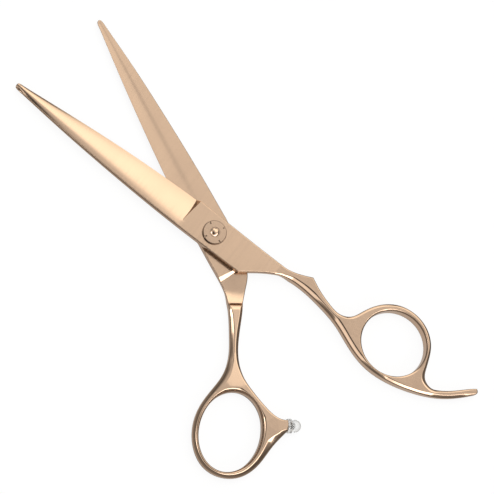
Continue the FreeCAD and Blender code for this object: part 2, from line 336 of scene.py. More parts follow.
def node_outlines(node, height):
    """The closed outlines of a CAD node at one height in millimetres, longest first."""
    bm = bmesh.new()
    bm.from_mesh(node.data)
    bmesh.ops.remove_doubles(bm, verts=bm.verts, dist=1e-6)
    cut = bmesh.ops.bisect_plane(bm, geom=bm.verts[:] + bm.edges[:] + bm.faces[:],
                                 plane_co=(0, 0, height * MM), plane_no=(0, 0, 1))
    edges = {e for e in cut["geom_cut"] if isinstance(e, bmesh.types.BMEdge)}
    loops = []
    while edges:
        edge = edges.pop()
        start, here = edge.verts
        loop = [start, here]
        while here != start:
            edge = next(e for e in here.link_edges if e in edges)
            edges.discard(edge)
            here = edge.other_vert(here)
            loop.append(here)
        loops.append(np.array([v.co[:2] for v in loop[:-1]]) / MM)
    bm.free()
    return sorted(loops, key=lambda loop: -span(loop))


def span(loop):
    """The length of a closed outline, all the way round."""
    return float(np.linalg.norm(np.roll(loop, -1, 0) - loop, axis=1).sum())


def turned(points, degrees):
    """Points in plan, turned about the pivot."""
    c, s = math.cos(math.radians(degrees)), math.sin(math.radians(degrees))
    return np.asarray(points, float) @ np.array([[c, s], [-s, c]])


def smooth_outline(loop, step, hole=False, corner=32.0):
    """The outline again at even steps, curved through its points between sharp corners.
    The metal is on its left side, and it starts from its point of lowest x."""
    area = np.sum(loop[:, 0] * np.roll(loop[:, 1], -1) - np.roll(loop[:, 0], -1) * loop[:, 1])
    if (area > 0) == hole:
        loop = loop[::-1]
    loop = np.roll(loop, -int(np.lexsort((loop[:, 1], loop[:, 0]))[0]), 0)
    gap = np.linalg.norm(np.roll(loop, -1, 0) - loop, axis=1)
    loop = loop[gap > 0.02]
    ahead = np.roll(loop, -1, 0) - loop
    behind = np.roll(ahead, 1, 0)
    turn = np.degrees(np.arctan2(behind[:, 0] * ahead[:, 1] - behind[:, 1] * ahead[:, 0],
                                 (behind * ahead).sum(1)))
    corners = [i for i in range(len(loop)) if abs(turn[i]) > corner]
    if corners:
        loop = np.roll(loop, -corners[0], 0)
        corners = [i - corners[0] for i in corners] + [len(loop)]
    else:
        corners = [0, len(loop)]
    loop = np.vstack([loop, loop[:1]])
    return np.vstack([curve_through(loop[a:b + 1], step) for a, b in zip(corners, corners[1:])])


def outline_through(runs, step):
    """A closed outline made of runs that meet in corners."""
    return np.vstack([curve_through(np.array(run, float), step) for run in runs])


def curve_through(run, step):
    """Points at even steps on a soft curve through a run; its last point is left out."""
    if len(run) == 2:
        count = max(1, int(round(np.linalg.norm(run[1] - run[0]) / step)))
        return run[0] + (run[1] - run[0]) * (np.arange(count) / count)[:, None]
    whole = np.allclose(run[0], run[-1])
    before = run[-2] if whole else 2 * run[0] - run[1]
    after = run[1] if whole else 2 * run[-1] - run[-2]
    p = np.vstack([before, run, after])
    fine = []
    for i in range(1, len(p) - 2):
        near = p[i - 1:i + 3]
        gaps = np.sqrt(np.linalg.norm(np.diff(near, axis=0), axis=1))
        knots = np.concatenate([[0], np.cumsum(gaps)])
        t = np.linspace(knots[1], knots[2], 12, endpoint=False)[:, None]
        a = [((knots[k + 1] - t) * near[k] + (t - knots[k]) * near[k + 1])
             / (knots[k + 1] - knots[k]) for k in range(3)]
        b = [((knots[k + 2] - t) * a[k] + (t - knots[k]) * a[k + 1]) / (knots[k + 2] - knots[k])
             for k in range(2)]
        fine.append(((knots[2] - t) * b[0] + (t - knots[1]) * b[1]) / (knots[2] - knots[1]))
    fine = np.vstack(fine + [run[-1:]])
    along = np.concatenate([[0], np.cumsum(np.linalg.norm(np.diff(fine, axis=0), axis=1))])
    count = max(2, int(round(along[-1] / step)))
    want = along[-1] * np.arange(count) / count
    return np.column_stack([np.interp(want, along, fine[:, k]) for k in range(2)])


def inward(loop):
    """Unit directions into the metal, lengthened at corners so that insets keep their width."""
    ahead = np.roll(loop, -1, 0) - loop
    ahead /= np.linalg.norm(ahead, axis=1)[:, None]
    left = np.column_stack([-ahead[:, 1], ahead[:, 0]])
    both = left + np.roll(left, 1, 0)
    both /= np.linalg.norm(both, axis=1)[:, None]
    return both / np.clip((both * left).sum(1), 0.6, 1)[:, None]


def wall_to_wall(loop, normal, loops, most):
    """How wide a rim may be at each point of a loop: a share of the metal's thickness, straight
    in from its edge. Round a hole the outer rim gets the larger share."""
    own = np.concatenate([np.full(len(one), one is loop) for one in loops])
    across = 0.66 if loop is loops[0] else 0.30
    a = np.vstack(loops)
    b = np.vstack([np.roll(one, -1, 0) for one in loops])
    d = b - a
    found = np.full(len(loop), 99.0)
    for i, (p, n) in enumerate(zip(loop, normal)):
        cross = n[0] * d[:, 1] - n[1] * d[:, 0]
        cross[np.abs(cross) < 1e-9] = 1e-9
        far = ((a[:, 0] - p[0]) * d[:, 1] - (a[:, 1] - p[1]) * d[:, 0]) / cross
        part = ((a[:, 0] - p[0]) * n[1] - (a[:, 1] - p[1]) * n[0]) / cross
        far[(far <= 0.3) | (part < 0) | (part > 1)] = 99.0
        k = int(far.argmin())
        found[i] = far[k] * (most if own[k] else across)
    return found


def without_folds(loop, normal, width):
    """Widths eased where an inset outline would double back on itself at a corner."""
    ahead = np.roll(loop, -1, 0) - loop
    for _ in range(60):
        inset = loop + normal * width[:, None]
        step = ((np.roll(inset, -1, 0) - inset) * ahead).sum(1) / (ahead ** 2).sum(1)
        folded = step < 0.12
        if not folded.any():
            break
        folded |= np.roll(folded, 1)
        width = np.where(folded, width * 0.88, width)
    return width


def spread_along(loop, stations):
    """Values given at a few places (x, y, value, ...), eased along the outline between them."""
    stations = np.array(stations, float)
    count = len(loop)
    place = [int(np.argmin(((loop - s[:2]) ** 2).sum(1))) for s in stations]
    order = np.argsort(place)
    knots = np.array(place)[order]
    values = stations[order, 2:]
    knots = np.concatenate([[knots[-1] - count], knots, [knots[0] + count]])
    values = np.vstack([values[-1:], values, values[:1]])
    out = np.zeros((count, values.shape[1]))
    for i in range(count):
        k = int(np.clip(np.searchsorted(knots, i, "right") - 1, 0, len(knots) - 2))
        t = (i - knots[k]) / max(1, knots[k + 1] - knots[k])
        t = t * t * (3 - 2 * t)
        out[i] = values[k] * (1 - t) + values[k + 1] * t
    return out


def within(points, loops):
    """Which points are in the metal: inside the first loop and outside the others."""
    inside = np.zeros(len(points), bool)
    x, y = points[:, 0], points[:, 1]
    for loop in loops:
        for a, b in zip(loop, np.roll(loop, -1, 0)):
            if a[1] != b[1]:
                crosses = (a[1] > y) != (b[1] > y)
                at = (b[0] - a[0]) * (y - a[1]) / (b[1] - a[1]) + a[0]
                inside ^= crosses & (x < at)
    return inside


def round_section(end=72.0, steps=12):
    """A rounded rim, from its wall in to its face: shares of the width in and the depth left."""
    angle = np.radians(end) * np.arange(steps + 1) / steps
    return np.column_stack([(1 - np.cos(angle)) / (1 - np.cos(angle[-1])),
                            1 - np.sin(angle) / np.sin(angle[-1])])


def bevel_section():
    """A bevelled rim in the same form: a tight round at the wall, then a long bevel and a
    soft crease. Each step is (slope in degrees, length)."""
    steps = [(87, 0.07), (82, 0.05), (75, 0.05), (67, 0.05), (59, 0.05), (51, 0.05), (44, 0.04),
             (38, 0.04), (34, 0.08), (33, 0.12), (32, 0.12), (31, 0.10), (28, 0.05), (23, 0.04),
             (18, 0.04), (12, 0.04), (6, 0.04)]
    way = np.array([(math.cos(math.radians(a)) * d, math.sin(math.radians(a)) * d)
                    for a, d in steps])
    way = np.vstack([[0, 0], np.cumsum(way, axis=0)])
    way /= way[-1]
    return np.column_stack([way[:, 0], 1 - way[:, 1]])


def bevels(stations):
    """Rim stations (x, y, width, roundness) with the depth that gives a bevel its own slope."""
    return [(x, y, width, (0.93 + 0.3 * turn) * width, turn) for x, y, width, turn in stations]


def rim_rings(loop, loops, stations, section, top, bottom, lower_share, most):
    """Rings of points down one outline's wall: in from the top face's border, over the rounded
    rim, and in again under it to the bottom face's border."""
    full_round = round_section(86.0, len(section) - 1)
    normal = inward(loop)
    width, depth, round_share = spread_along(loop, stations).T
    width = np.minimum(width, wall_to_wall(loop, normal, loops, most))
    for _ in range(12):
        width = np.minimum(width, (np.roll(width, 1) + width + np.roll(width, -1)) / 3 + 0.02)
    width = without_folds(loop, normal, width)
    rings = []
    for side, scale in ((1, 1), (-1, lower_share)):
        order = range(len(section))
        for k in (order[::-1] if side == 1 else order):
            share, rise = (section[k][:, None] * (1 - round_share)
                           + full_round[k][:, None] * round_share)
            inner = loop + normal * (width * scale)[:, None]
            high, low = top(inner), bottom(inner)
            d = np.minimum(depth * scale, (high - low) * 0.49)
            xy = loop + normal * (width * scale * share)[:, None]
            z = high - d * rise if side == 1 else low + d * rise
            rings.append(np.column_stack([xy, z]))
    return rings


def fill_face(verts, rims, height, extra, creases):
    """Triangles over a face between its borders, through extra points and along creases. rims
    gives each border's first vertex and its points. New points are added to verts."""
    index, flat, joins = [], [], []
    for start, ring in rims:
        first = len(flat)
        flat.extend(ring[:, :2].tolist())
        index.extend(range(start, start + len(ring)))
        joins.extend((first + i, first + (i + 1) % len(ring)) for i in range(len(ring)))
    borders = [ring[:, :2] for _, ring in rims]
    for spots, chained in [(extra, False)] + [(c, True) for c in creases]:
        if len(spots) == 0:
            continue
        spots = np.asarray(spots, float)
        spots = spots[within(spots, borders)]
        near = np.array([min(((b - s) ** 2).sum(1).min() for b in borders) for s in spots])
        spots = spots[near > (0.12 if chained else 0.2) ** 2]
        first = len(flat)
        flat.extend(spots.tolist())
        for (x, y), z in zip(spots, height(spots)):
            index.append(len(verts))
            verts.append([x, y, z])
        if chained:
            joins.extend((first + i, first + i + 1) for i in range(len(spots) - 1))
    # the triangulation rounds its points, so triangles are sorted by borders rounded the same
    flat = [Vector(p) for p in flat]
    starts = np.cumsum([0] + [len(border) for border in borders])
    borders = [np.array([p[:] for p in flat[a:b]]) for a, b in zip(starts, starts[1:])]
    made, _, tris, origins, _, _ = delaunay_2d_cdt(flat, joins, [], 0, 1e-7)
    lookup = []
    for spot, sources in zip(made, origins):
        if sources:
            lookup.append(index[sources[0]])
        else:
            lookup.append(len(verts))
            verts.append([*spot[:], float(height(np.array([spot[:]]))[0])])
    middle = np.array([[sum(made[v][0] for v in t) / 3, sum(made[v][1] for v in t) / 3]
                       for t in tris])
    return [[lookup[v] for v in t] for t, kept in zip(tris, within(middle, borders)) if kept]


def ground_plate(name, loops, edges_at, top, bottom, extra=(), creases=(), turn=0.0,
                 section=None, lower_share=1.0, most=0.45):
    """A metal plate with ground faces. loops are its outlines; edges_at gives each one's
    (x, y, width, depth, roundness) of rounding: 0 takes the section, 1 a full round.
    top and bottom give the faces' heights."""
    section = round_section() if section is None else section
    verts, faces = [], []
    top_rims, bottom_rims = [], []
    for loop, stations in zip(loops, edges_at):
        rings = rim_rings(loop, loops, stations, section, top, bottom, lower_share, most)
        base, count = len(verts), len(loop)
        for ring in rings:
            verts.extend(ring.tolist())
        for start in range(base, len(verts) - count, count):
            for i in range(count):
                j = (i + 1) % count
                faces.append((start + i, start + j, start + count + j, start + count + i))
        top_rims.append((base, rings[0]))
        bottom_rims.append((len(verts) - count, rings[-1]))
    rolled_faces = len(faces)
    faces.extend(fill_face(verts, top_rims, top, extra, creases))
    faces.extend(tri[::-1] for tri in fill_face(verts, bottom_rims, bottom, extra, creases))
    points = np.array(verts)
    points[:, :2] = turned(points[:, :2], turn)
    mesh = bpy.data.meshes.new(name)
    mesh.from_pydata((points * MM).tolist(), [], faces)
    for face in mesh.polygons[rolled_faces:]:
        face.material_index = 1
    bm = bmesh.new()
    bm.from_mesh(mesh)
    bmesh.ops.remove_doubles(bm, verts=bm.verts, dist=2e-7)
    bmesh.ops.recalc_face_normals(bm, faces=bm.faces)
    bm.to_mesh(mesh)
    bm.free()
    return new_object(name, mesh)


# ---------------------------------------------------------------- shapes of the four members

# Millimetres and degrees, as in the CAD. The thumb member is drawn closed and then turned open.
OPEN = 26.0
MID = 2.45                  # parting plane between the blades
THICK = 4.9                 # of the handles, and of both blades together
FINGER_UNDERSIDE = 2.5
THUMB_TOP = 2.40
SHANK = (math.cos(math.radians(153.4)), math.sin(math.radians(153.4)))
THUMB_SEAM = 23.2           # distance of the thumb member's seam along its shank
FINGER_SEAM_X = -24
BLADE_STEP = 0.4            # spacing of points along a blade's outline
HANDLE_STEP = 0.3
# the ground facet between the finger blade's flat and its convex face
SHOULDER_X = 10.9
SHOULDER_Y = 2.8
SHOULDER_SLOPE = 58
SHOULDER_SKEW = 8
TIP_DROP = 1.25             # how far the convex face's crest falls by the tip
# the thumb blade's neck
RIDE_END_X = -13.7
BOWL_RADIUS = 11.0
# round pockets about the pivot axis
RACE_POCKET_R = 4.9
BUSH_R = 2.9
CAP_BORE_R = 3.7
STUD_R = 2.2
STUD_HEAD_R = 4.0
KEY_REACH = 4.5

FINGER_BLADE_PLAN = [
    [(-24, -5.35), (-15, -5.45), (0, -5.8), (10, -6.0), (20, -5.82), (40, -4.85), (60, -3.2),
     (80, -1.1)],
    [(80, -1.1), (81.0, -0.7), (81.22, 0), (81.0, 0.7), (80, 1.1)],
    [(80, 1.1), (60, 3.1), (40, 4.55), (20, 5.5), (10, 5.7), (-14, 5.8)],
    [(-14, 5.8), (-19.6, 1.5), (-22, -0.15), (-24, -1.35)],
    [(-24, -1.35), (-24, -5.35)],
]
THUMB_BLADE_PLAN = [
    [(-24.93, 2.05), (-21.7, -0.8), (-17, -4.3), (-9, -6.5), (3, -6.8)],
    [(3, -6.8), (20, -6.2), (40, -4.98), (60, -3.3), (80, -0.95)],
    [(80, -0.95), (81.1, -0.5), (81.3, 0), (81.15, 0.5), (80, 0.95)],
    [(80, 0.95), (60, 2.83), (40, 4.27), (24, 5.12), (8, 5.45), (-8, 5.3), (-16, 5.15),
     (-19.5, 5.5), (-22.68, 6.55)],
    [(-22.68, 6.55), (-24.93, 2.05)],
]


def along_shank(p):
    """Distance from the pivot along the thumb member's shank."""
    return p[:, 0] * SHANK[0] + p[:, 1] * SHANK[1]


def past_seam(loop, point, normal, reach=1.0):
    """The outline carried on past a straight seam, along its own sides, to be trimmed later."""
    loop = loop.copy()
    on = np.abs((loop - point) @ np.array(normal)) < 0.02
    first = int(np.argmax(on & ~np.roll(on, 1)))
    loop, on = np.roll(loop, -first, 0), np.roll(on, -first)
    count = int(on.sum())
    a, b = loop[0], loop[count - 1]
    side_a, side_b = a - loop[-2], b - loop[count + 1]
    a = a + side_a / np.linalg.norm(side_a) * reach
    b = b + side_b / np.linalg.norm(side_b) * reach
    loop[:count] = a + (b - a) * np.linspace(0, 1, count)[:, None]
    return loop


def trim(piece, point, normal, turn=0.0):
    """Cuts a piece off flat at a seam, keeping the side the normal points away from."""
    spot = Vector((*turned([point], turn)[0], 0)) * MM
    way = Vector((*turned([normal], turn)[0], 0))
    bm = bmesh.new()
    bm.from_mesh(piece.data)
    cut = bmesh.ops.bisect_plane(bm, geom=bm.verts[:] + bm.edges[:] + bm.faces[:], dist=1e-7,
                                 plane_co=spot, plane_no=way, clear_outer=True)
    rim = [e for e in cut["geom_cut"] if isinstance(e, bmesh.types.BMEdge)]
    bmesh.ops.holes_fill(bm, edges=rim, sides=0)
    bmesh.ops.recalc_face_normals(bm, faces=bm.faces)
    bm.to_mesh(piece.data)
    bm.free()


def level(height):
    """A face that is level at one height."""
    return lambda p: np.full(len(p), float(height))


def eased(value, low, high):
    """0 up to low and 1 from high on, with a smooth rise between."""
    t = np.clip((value - low) / (high - low), 0, 1)
    return t * t * (3 - 2 * t)


def crown_height(p, edge_x, edge_y):
    """The convex outer face, ground down from a crest line to just over the cutting edge."""
    share = np.clip((p[:, 0] - 10) / 72, -0.2, 1)
    crest_y = 5.6 - 6.0 * share
    crest_z = THICK - TIP_DROP * np.clip(share, 0, 1) ** 1.2
    edge_z = FINGER_UNDERSIDE + 0.12 + 0.25 * eased(p[:, 0], 62, 82)
    across = crest_y - np.interp(p[:, 0], edge_x, edge_y)
    drop = crest_z - edge_z
    radius = (across ** 2 + drop ** 2) / (2 * drop)
    off = np.clip(p[:, 1] - crest_y, -radius * 0.97, radius * 0.97)
    return crest_z - radius + np.sqrt(radius ** 2 - off ** 2)


def shoulder_height(p):
    """The steep facet between the flat and the convex face."""
    skew = math.radians(SHOULDER_SKEW)
    ahead = math.cos(skew) * (p[:, 0] - SHOULDER_X) - math.sin(skew) * (p[:, 1] - SHOULDER_Y)
    return THICK - ahead * math.tan(math.radians(SHOULDER_SLOPE))


def outer_face(p, edge_x, edge_y):
    """All of a blade's outer face: the flat, the facet and the convex face."""
    ground = np.maximum(shoulder_height(p), crown_height(p, edge_x, edge_y))
    return np.minimum(THICK, np.where(p[:, 0] < 8.5, THICK, ground))


def shoulder_lines(edge_x, edge_y):
    """The facet's two edges, from the spine to the cutting edge."""
    y = np.linspace(-6.3, 2.7, 40)
    skew = math.tan(math.radians(SHOULDER_SKEW))
    first = np.column_stack([SHOULDER_X + skew * (y - SHOULDER_Y), y])
    low, high = first[:, 0].copy(), first[:, 0] + 4
    for _ in range(30):
        x = (low + high) / 2
        p = np.column_stack([x, y])
        steep = shoulder_height(p) > crown_height(p, edge_x, edge_y)
        low, high = np.where(steep, x, low), np.where(steep, high, x)
    return first, np.column_stack([low, y])


def hollow_depth(p, edge, spine):
    """The very shallow hollow along a blade's inner face, between its edge and its middle."""
    low = np.interp(p[:, 0], *edge)
    across = (p[:, 1] - low) / (np.interp(p[:, 0], *spine) - low)
    deep = 0.035 * eased(p[:, 0], 4, 24) * (1 - 0.75 * eased(p[:, 0], 50, 80))
    return deep * eased(across, -0.1, 0.42) * (1 - eased(across, 0.42, 0.56))


def blade_mesh_points(edge_x, edge_y, back_y):
    """Rows of points across the ground length of a blade."""
    rows = []
    for x in np.arange(6.0, 80.6, 0.9):
        low = float(np.interp(x, edge_x, edge_y))
        rows.extend((x, low + (back_y(x) - low) * t) for t in np.linspace(0.03, 0.97, 22))
    return np.array(rows)


def cutting_edge(loop, side):
    """The blade's long edge on one side, as x and y for interpolation."""
    half = loop[(loop[:, 1] * side > 0) & (loop[:, 0] > -12)]
    half = half[np.argsort(half[:, 0])]
    return half[:, 0], half[:, 1]


def cross_lines(places, direction, low, high, step=0.3):
    """Straight lines of points across the metal, at distances along a direction."""
    d = np.array(direction)
    side = np.array([-d[1], d[0]])
    return [d * place + side * np.arange(low, high, step)[:, None] for place in places]


def finger_blade():
    """The top blade, with its pockets for the bearing, bush and dial."""
    loop = past_seam(outline_through(FINGER_BLADE_PLAN, BLADE_STEP), (FINGER_SEAM_X, -3), (-1, 0))
    edge = cutting_edge(loop, -1)
    spine = cutting_edge(loop, 1)
    rims = [(-25, -5.35, 0.40, 0.6, 0), (-15, -5.45, 0.40, 0.6, 0), (8, -6, 0.36, 0.5, 0),
            (13, -6, 0.05, 0.05, 0), (79, -1.2, 0.05, 0.05, 0), (81.2, 0, 0.25, 0.2, 0),
            (79, 1.2, 0.35, 0.5, 0), (40, 4.55, 0.52, 0.9, 0), (14, 5.6, 0.52, 1.0, 0),
            (8, 5.7, 0.34, 0.6, 0), (-12, 5.8, 0.34, 0.6, 0), (-16, 4.2, 0.42, 0.6, 0),
            (-24.8, -1.7, 0.42, 0.6, 0)]
    piece = ground_plate(
        "finger_blade_ground", [loop], [rims],
        lambda p: outer_face(p, *edge),
        lambda p: FINGER_UNDERSIDE + hollow_depth(p, edge, spine),
        extra=blade_mesh_points(*edge, lambda x: float(np.interp(x, *spine))),
        creases=shoulder_lines(*edge), section=round_section(80.0), lower_share=0.5)
    trim(piece, (FINGER_SEAM_X, 0), (-1, 0))
    bore(piece, CAP_BORE_R, 3.95, 6.0)
    bore(piece, BUSH_R, 2.9, 4.2)
    bore(piece, RACE_POCKET_R, 1.0, 3.25)
    return stand_for(piece, "finger_side", "blade_metal", "finger_blade")


def finger_handle():
    """Shank, finger ring and finger rest."""
    outer, hole = node_outlines(nodes["finger_handle"], 3.0)[:2]
    outer = past_seam(smooth_outline(outer, HANDLE_STEP), (FINGER_SEAM_X, -3), (1, 0))
    hole = smooth_outline(hole, HANDLE_STEP, hole=True)
    rims = [(-23.2, -0.9, 0.42, 0), (-24.4, -1.6, 0.42, 0), (-27, -2.6, 0.8, 0),
            (-31, -3.25, 1.4, 0), (-36, -3.3, 1.7, 0), (-50, -0.75, 1.75, 0),
            (-58, 2.5, 1.65, 0), (-70, 4.95, 1.3, 0), (-77, 4.1, 1.15, 0),
            (-85, 1.75, 1.15, 0), (-92, -1.45, 1.45, 0), (-98, -6.1, 1.4, 0),
            (-102.2, -11.4, 0.35, 0), (-97, -8.55, 0.6, 0), (-92, -4.35, 0.65, 0),
            (-88.3, -2.95, 1.4, 0.4), (-85.2, -4.3, 1.8, 0.5), (-83.2, -8.2, 1.2, 0.4),
            (-80, -14.9, 0.8, 0), (-70, -19.95, 0.8, 0), (-58.2, -14.6, 0.9, 0),
            (-53, -5.7, 0.9, 0), (-49.6, -4.0, 0.8, 0), (-45, -4.5, 0.55, 0),
            (-40, -6.15, 0.5, 0), (-35.2, -8.45, 0.42, 0), (-31.5, -6.75, 0.42, 0),
            (-23.1, -5.35, 0.40, 0)]
    inner = [(-58.4, -7.15, 0.6, 0), (-69.8, 3.7, 0.45, 0), (-81.2, -7.15, 0.7, 0),
             (-69.8, -18, 0.9, 0)]

    def half(p):
        """Half the thickness, which thins along the finger rest."""
        return MID - (MID - 1.35) * np.clip((-82 - p[:, 0]) / 20.3, 0, 1)

    def bottom(p):
        """Level with the rest plane, then up a ramp to the finger blade's underside."""
        return np.maximum(MID - half(p), FINGER_UNDERSIDE * np.clip((p[:, 0] + 29.5) / 4, 0, 1))

    piece = ground_plate(
        "finger_handle_ground", [outer, hole], [bevels(rims), bevels(inner)],
        lambda p: MID + half(p), bottom,
        creases=cross_lines([25.5, 29.5, 82.0], (-1, 0), -5, 9.5),
        section=bevel_section(), most=0.47)
    trim(piece, (FINGER_SEAM_X, 0), (1, 0))
    return stand_for(piece, "finger_side", "handle_metal", "finger_handle")


def thumb_neck(p, edge, spine):
    """Inner face of the thumb blade: level to the end of the ride, then a ground bowl."""
    back = RIDE_END_X - p[:, 0]
    t = along_shank(p)
    rise = BOWL_RADIUS - np.sqrt(BOWL_RADIUS ** 2 - np.clip(t - 18.3, 0, 6.0) ** 2)
    fall = 0.5 * np.clip(back, 0, slide_length(p[:, 1]))
    return THUMB_TOP + np.where(back > 0, rise - fall, -hollow_depth(p, edge, spine))


def slide_length(y):
    """How far the slope down into the neck's bowl runs back, across the neck."""
    return 0.45 + 1.0 * eased(y, -5.0, 6.0)


def thumb_blade():
    """The lower blade, which shows its inner face, with its pockets for the bearing and stud."""
    seam = (SHANK[0] * THUMB_SEAM, SHANK[1] * THUMB_SEAM)
    loop = past_seam(outline_through(THUMB_BLADE_PLAN, BLADE_STEP), seam, SHANK)
    edge = cutting_edge(loop, 1)
    spine = cutting_edge(loop, -1)
    rims = [(-24.9, 2.05, 0.3, 0.5, 0), (-17, -4.3, 0.3, 0.5, 0), (3, -6.8, 0.38, 0.7, 0),
            (40, -4.98, 0.38, 0.6, 0), (80, -1, 0.2, 0.3, 0), (81.3, 0, 0.15, 0.15, 0),
            (80, 1, 0.04, 0.04, 0), (20, 5.2, 0.04, 0.04, 0), (-8, 5.3, 0.12, 0.12, 0),
            (-16, 5.15, 0.15, 0.15, 0), (-22.68, 6.55, 0.15, 0.2, 0)]
    mirror = np.array([1, -1])
    far_lines = [line * mirror for line in shoulder_lines(edge[0], -edge[1])]
    neck = cross_lines(np.arange(16.6, 23.1, 0.35), SHANK, -7, 8, 0.4)
    y = np.linspace(-7, 6.5, 56)
    cove = [np.column_stack([RIDE_END_X - share * slide_length(y), y])
            for share in (0.0, 0.5, 1.0)]
    points = blade_mesh_points(*edge, lambda x: float(np.interp(x, *spine)))
    piece = ground_plate(
        "thumb_blade_ground", [loop], [rims], lambda p: thumb_neck(p, edge, spine),
        lambda p: THICK - outer_face(p * mirror, edge[0], -edge[1]),
        extra=np.vstack([points] + neck), creases=cove + far_lines,
        turn=-OPEN, lower_share=0.6)
    trim(piece, seam, SHANK, -OPEN)
    bore(piece, RACE_POCKET_R, 1.65, 4.0)
    bore(piece, STUD_R, -1.0, 4.0)
    bore(piece, STUD_HEAD_R, -1.0, 0.8, key=0.9)
    return stand_for(piece, "thumb_side", "blade_metal", "thumb_blade")


def thumb_handle():
    """Shank, thumb ring and the stub arm that carries the bumper."""
    outer, hole = [turned(loop, OPEN) for loop in node_outlines(nodes["thumb_handle"], 1.2)[:2]]
    seam = (SHANK[0] * THUMB_SEAM, SHANK[1] * THUMB_SEAM)
    outer = past_seam(smooth_outline(outer, HANDLE_STEP), seam, SHANK)
    hole = smooth_outline(hole, HANDLE_STEP, hole=True)
    rims = [(-22.68, 6.55, 0.3, 0), (-24.5, 7.3, 1.0, 0), (-27, 8.4, 1.35, 0),
            (-32, 10.95, 1.5, 0), (-39, 15.25, 1.7, 0), (-43.1, 20.0, 2.2, 0.7),
            (-49.6, 32.9, 2.0, 1), (-60.6, 40.0, 2.0, 1), (-71.3, 37.3, 2.2, 1),
            (-75.1, 30.6, 2.6, 0.6), (-74.3, 22.9, 3.2, 0.2), (-71.2, 16.0, 3.4, 0.2),
            (-69.5, 11.0, 1.9, 0.2), (-68.9, 9.1, 0.8, 0), (-67.4, 8.35, 0.25, 0),
            (-65.96, 7.6, 0.3, 0), (-63.6, 10.25, 0.5, 0), (-59.5, 11.95, 0.6, 0),
            (-53, 13.4, 0.7, 0), (-46.5, 14.0, 0.8, 0), (-41, 12.65, 1.1, 0),
            (-33, 7.8, 1.3, 0), (-26.5, 3.2, 1.1, 0), (-24.93, 2.05, 0.3, 0)]
    inner = [(-48.9, 23.6, 1.6, 0.8), (-53.4, 34.2, 0.9, 0.3), (-70.3, 35.9, 0.9, 0.3),
             (-67.8, 19.1, 1.2, 0.6), (-57, 15.4, 1.5, 0.9)]

    def top(p):
        """Down a round step to the neck, and sloping a little along the shank and the arm."""
        t = along_shank(p)
        step = 1.2 * (1 - np.clip((t - THUMB_SEAM) / 2.3, 0, 1)) ** 2
        arm = (p - np.array([-62.5, 14.5])) @ np.array([0.31, -0.95])
        return THICK - step - 0.038 * np.clip(51 - t, 0, 28) - 0.028 * np.clip(arm, 0, 9)

    piece = ground_plate(
        "thumb_handle_ground", [outer, hole], [bevels(rims), bevels(inner)], top, level(0),
        extra=np.vstack(cross_lines(np.arange(27.0, 51.0, 2.0), SHANK, -7, 8, 0.8)),
        creases=cross_lines(np.arange(23.4, 25.7, 0.2), SHANK, -7, 8, 0.3)
        + cross_lines([51.0], SHANK, -16, 12, 0.4),
        turn=-OPEN, section=bevel_section(), most=0.47)
    trim(piece, seam, (-SHANK[0], -SHANK[1]), -OPEN)
    return stand_for(piece, "thumb_side", "handle_metal", "thumb_handle")


def bore(piece, radius, low, high, key=0.0):
    """Cuts a round pocket about the pivot axis, with a keyway if one is given."""
    bm = bmesh.new()
    bmesh.ops.create_cone(bm, segments=96, cap_ends=True, radius1=radius * MM, radius2=radius * MM,
                          depth=(high - low) * MM,
                          matrix=Matrix.Translation((0, 0, (low + high) / 2 * MM)))
    cut_with(piece, bm)
    if key:
        bm = bmesh.new()
        place = (Matrix.Rotation(math.radians(-OPEN), 4, "Z")
                 @ Matrix.Translation((KEY_REACH / 2 * MM, 0, (low + high) / 2 * MM))
                 @ Matrix.Diagonal((KEY_REACH * MM, key * MM, (high - low) * MM, 1)))
        bmesh.ops.create_cube(bm, size=1.0, matrix=place)
        cut_with(piece, bm)


def cut_with(piece, bm):
    """Cuts a closed shape out of a piece."""
    mesh = bpy.data.meshes.new("cutter")
    bm.to_mesh(mesh)
    bm.free()
    cutter = new_object("cutter", mesh)
    cut = piece.modifiers.new("pocket", "BOOLEAN")
    cut.object = cutter
    cut.solver = "EXACT"
    bpy.context.view_layer.update()
    solved = piece.evaluated_get(bpy.context.evaluated_depsgraph_get())
    ready = bpy.data.meshes.new_from_object(solved)
    piece.modifiers.clear()
    piece.data = ready
    bpy.data.objects.remove(cutter)


def stand_for(piece, body, slot, node):
    """Crisp edges and smooth faces on a finished piece, which then stands for its CAD node.
    Ground faces carry slot 1 until here, so that their borders stay crisp."""
    bm = bmesh.new()
    bm.from_mesh(piece.data)
    for edge in bm.edges:
        sides = edge.link_faces
        border = len(sides) == 2 and sides[0].material_index != sides[1].material_index
        edge.smooth = not (border or edge.calc_face_angle(0.0) > math.radians(20))
    for face in bm.faces:
        face.smooth = True
        face.material_index = 0
    bm.to_mesh(piece.data)
    bm.free()
    even = piece.modifiers.new("even light", "WEIGHTED_NORMAL")
    even.keep_sharp = True
    piece.data.materials.clear()
    piece.data.materials.append(materials[slot])
    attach(piece, body)
    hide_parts(node)
    return piece


finger_blade()
finger_handle()
thumb_blade()
thumb_handle()


# ---------------------------------------------------------------- floor and light

FLOOR_GAP = 0.0001
FLOOR_REACH = 2.0
# floor brightness in the metal's reflections by how slantwise it is seen, 0 straight down: a
# painted glow, darkest straight down as painted shade under the shears
FLOOR_FADE = [(0.0, 0.04), (0.02, 0.08), (0.045, 0.44), (0.12, 0.36), (0.3, 0.14), (0.6, 0.07)]


def ramp(tree, source, stops, tint=(1, 1, 1)):
    """A colour that follows (position, level) stops along a source value."""
    node = add(tree, "ValToRGB")
    elements = node.color_ramp.elements
    elements.remove(elements[0])
    for k, (spot, level) in enumerate(stops):
        stop = elements[0] if k == 0 else elements.new(spot)
        stop.position = spot
        stop.color = (*[level * share for share in tint], 1)
    tree.links.new(source, node.inputs["Fac"])
    return node.outputs["Color"]


